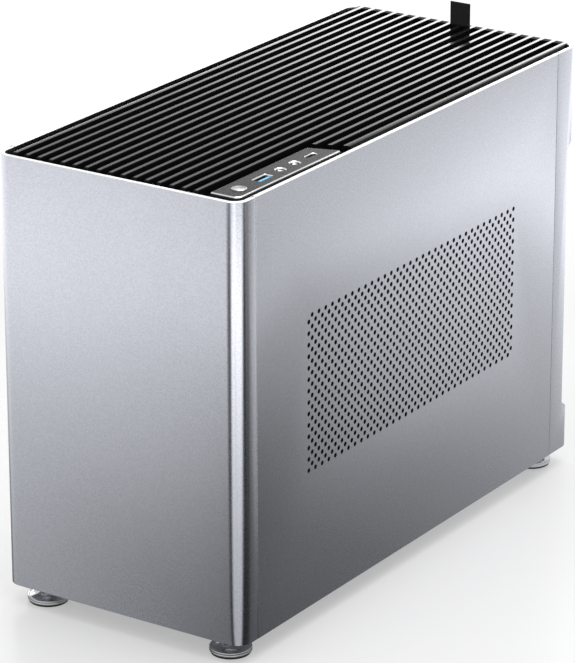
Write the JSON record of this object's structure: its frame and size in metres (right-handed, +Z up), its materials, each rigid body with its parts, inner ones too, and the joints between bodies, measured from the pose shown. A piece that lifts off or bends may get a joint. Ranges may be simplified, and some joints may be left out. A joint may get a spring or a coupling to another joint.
{
  "type": "desktop computer tower",
  "caption": "Compact upright aluminium computer case with perforated sides, a finned lift-off top grille, a top row of ports, round metal feet and its inner parts.",
  "frame": {"origin": "on the floor under the middle of the shell, with the rubber rings' undersides at Z 0", "axes": "+Z up, +Y towards the rear with the mains inlet, +X to the right seen from the front"},
  "size_m": [0.1704, 0.3774, 0.296],
  "materials": {
    "shell": "fine bead-blasted, anodised silver",
    "sheet_steel": "black powder coat, fine texture",
    "galvanised": "plain zinc-coated sheet",
    "polished": "polished",
    "foot_rubber": "matt",
    "black_plastic": "fine texture",
    "board": "solder mask, satin",
    "fin_stack": "thin plain plates",
    "filter_mesh": "fine woven mesh",
    "ribbon": "woven band with corded edges",
    "inlay": "dark grey, fine bead-blasted",
    "grille": "black anodised, satin",
    "tongue_blue": "light blue",
    "tongue_black": "matt",
    "dark_metal": "dark anodised",
    "brass_part": "plain",
    "cable_jacket": "soft matt jacket"
  },
  "bodies": {
    "chassis": {"front_cover": "shell", "rear_frame": "shell", "feet": "polished", "foot_rings": "foot_rubber", "floor_screws": "galvanised", "bottom_plate": "shell", "rear_panel": "sheet_steel", "top_tray": "sheet_steel", "motherboard_tray": "sheet_steel", "io_bezel": "inlay", "io_plate": "inlay", "power_switch": "black_plastic", "usb_a_shell": "galvanised", "usb_a_tongue": "tongue_blue", "audio_jacks": "polished", "usb_c_shell": "galvanised", "usb_c_tongue": "tongue_black", "io_board": "board", "top_fan_frame_front": "black_plastic", "top_fan_frame_rear": "black_plastic", "cooler_fan_frame": "black_plastic", "motherboard": "board", "standoffs": "brass_part", "board_slots": "black_plastic", "cpu_socket": "galvanised", "cooler_base": "polished", "cooler_fins": "fin_stack", "memory_modules": "dark_metal", "board_heatsinks": "dark_metal", "rear_sockets": "galvanised", "rear_jacks": "black_plastic", "io_shield": "galvanised", "card_board": "board", "card_backplate": "dark_metal", "card_heatsink": "fin_stack", "card_shroud": "black_plastic", "card_bracket": "galvanised", "thumb_screws": "dark_metal", "supply_case": "sheet_steel", "rear_inlet": "black_plastic", "supply_inlet": "black_plastic", "rocker_frame": "black_plastic", "supply_bracket": "sheet_steel", "mains_lead": "cable_jacket", "mains_plug": "black_plastic", "main_power_cable": "cable_jacket", "panel_cable": "cable_jacket"},
    "right_panel": {"side_panel_right": "shell"},
    "left_panel": {"side_panel_left": "shell"},
    "grille": {"top_grille": "grille", "dust_filter": "filter_mesh", "pull_ribbon": "ribbon"},
    "button": {"power_button": "polished"},
    "rocker": {"rocker_switch": "black_plastic"},
    "top_fan_front": {"top_rotor_front": "black_plastic"},
    "top_fan_rear": {"top_rotor_rear": "black_plastic"},
    "cooler_fan": {"cooler_rotor": "black_plastic"},
    "card_fan_front": {"card_rotor_front": "black_plastic"},
    "card_fan_rear": {"card_rotor_rear": "black_plastic"},
    "supply_fan": {"supply_rotor": "black_plastic"}
  },
  "joints": [
    {"name": "power_button_press", "type": "slide", "parent": "chassis", "child": "button", "axis": [0, 0, -1], "range_m": [0, 0.0008], "stiffness_N_per_m": 500, "springref_m": -0.0005},
    {"name": "top_grille_lift", "type": "slide", "parent": "chassis", "child": "grille", "axis": [0, 0, 1], "range_m": [0, 0.06]},
    {"name": "side_panel_right_lift", "type": "slide", "parent": "chassis", "child": "right_panel", "axis": [0, 0, 1], "range_m": [0, 0.25]},
    {"name": "side_panel_left_lift", "type": "slide", "parent": "chassis", "child": "left_panel", "axis": [0, 0, 1], "range_m": [0, 0.25]},
    {"name": "rocker_switch_tip", "type": "hinge", "parent": "chassis", "child": "rocker", "pos_m": [0.036, -0.15, 0.156], "axis": [0, 0, 1], "range_deg": [0, 24]},
    {"name": "top_fan_front_spin", "type": "hinge", "parent": "chassis", "child": "top_fan_front", "pos_m": [-0.002, -0.0603, 0.253], "axis": [0, 0, 1], "continuous": true},
    {"name": "top_fan_rear_spin", "type": "hinge", "parent": "chassis", "child": "top_fan_rear", "pos_m": [-0.002, 0.0603, 0.253], "axis": [0, 0, 1], "continuous": true},
    {"name": "cooler_fan_spin", "type": "hinge", "parent": "chassis", "child": "cooler_fan", "pos_m": [-0.025, 0.054, 0.172], "axis": [0, 1, 0], "continuous": true},
    {"name": "card_fan_front_spin", "type": "hinge", "parent": "chassis", "child": "card_fan_front", "pos_m": [-0.01025, -0.014, 0.038], "axis": [0, 0, 1], "continuous": true},
    {"name": "card_fan_rear_spin", "type": "hinge", "parent": "chassis", "child": "card_fan_rear", "pos_m": [-0.01025, 0.098, 0.038], "axis": [0, 0, 1], "continuous": true},
    {"name": "supply_fan_spin", "type": "hinge", "parent": "chassis", "child": "supply_fan", "pos_m": [0.068, -0.102, 0.1665], "axis": [1, 0, 0], "continuous": true}
  ]
}
